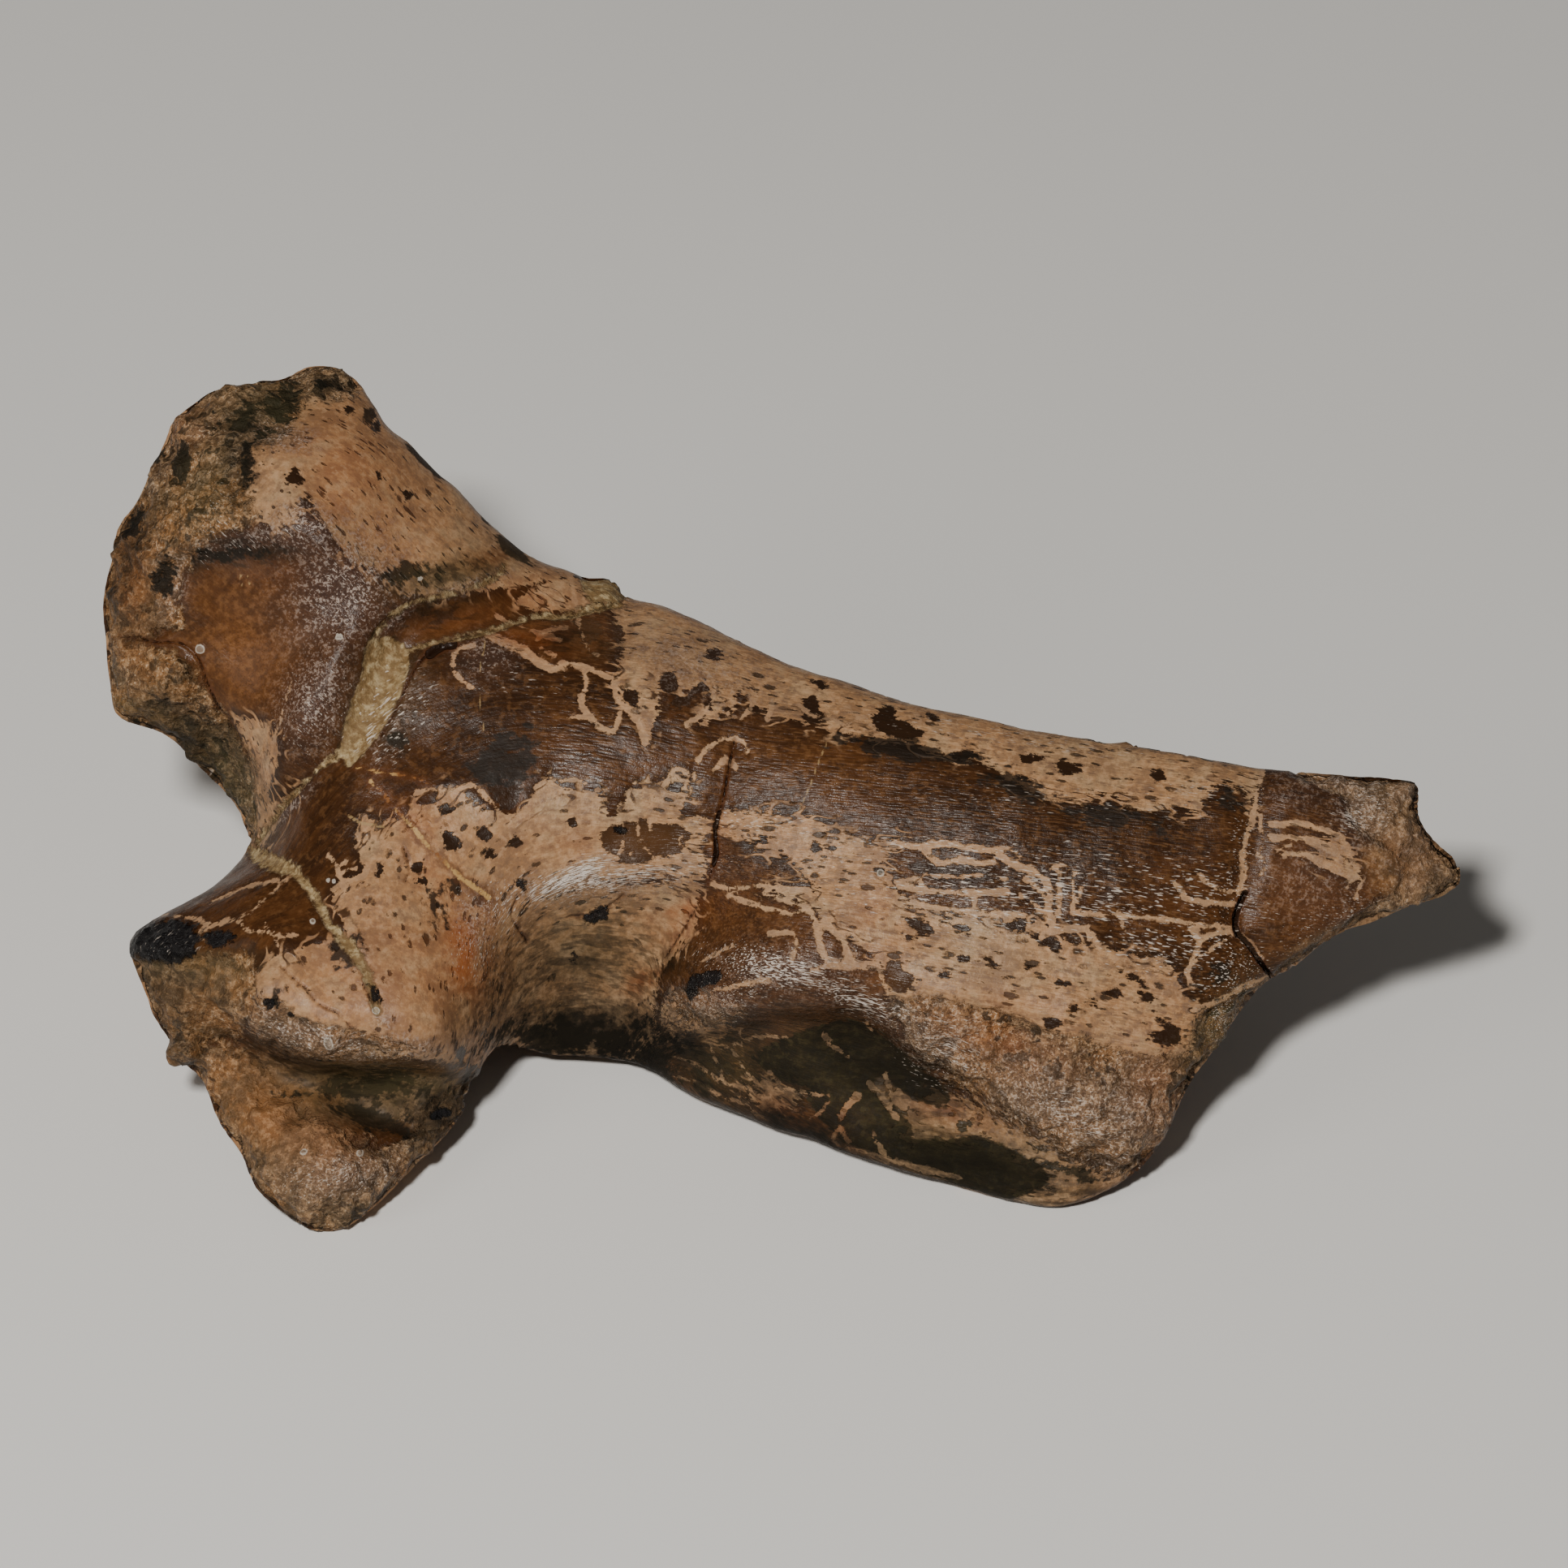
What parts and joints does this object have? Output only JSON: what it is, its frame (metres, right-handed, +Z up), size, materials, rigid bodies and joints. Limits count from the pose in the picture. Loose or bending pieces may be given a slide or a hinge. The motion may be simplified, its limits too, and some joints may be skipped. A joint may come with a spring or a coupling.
{
  "type": "fossil vertebra process",
  "caption": "Broken neural arch of a hypacrosaurus vertebra: a ridged blade with a cracked tip, an upper lobe, a notched lower lobe and a vaulted underside.",
  "frame": {"origin": "middle of the bounding box, on the surface that the bone lies on", "axes": "+Z up, +X along the blade from the lobes to the broken tip, +Y away from the face that the picture shows"},
  "size_m": [0.1822, 0.0986, 0.0739],
  "materials": {
    "fossil_bone": "polished brown cortex with tan root-etched patches, rough where it is broken"
  },
  "bodies": {
    "root": {"vertebra_process": "fossil_bone"}
  },
  "joints": []
}
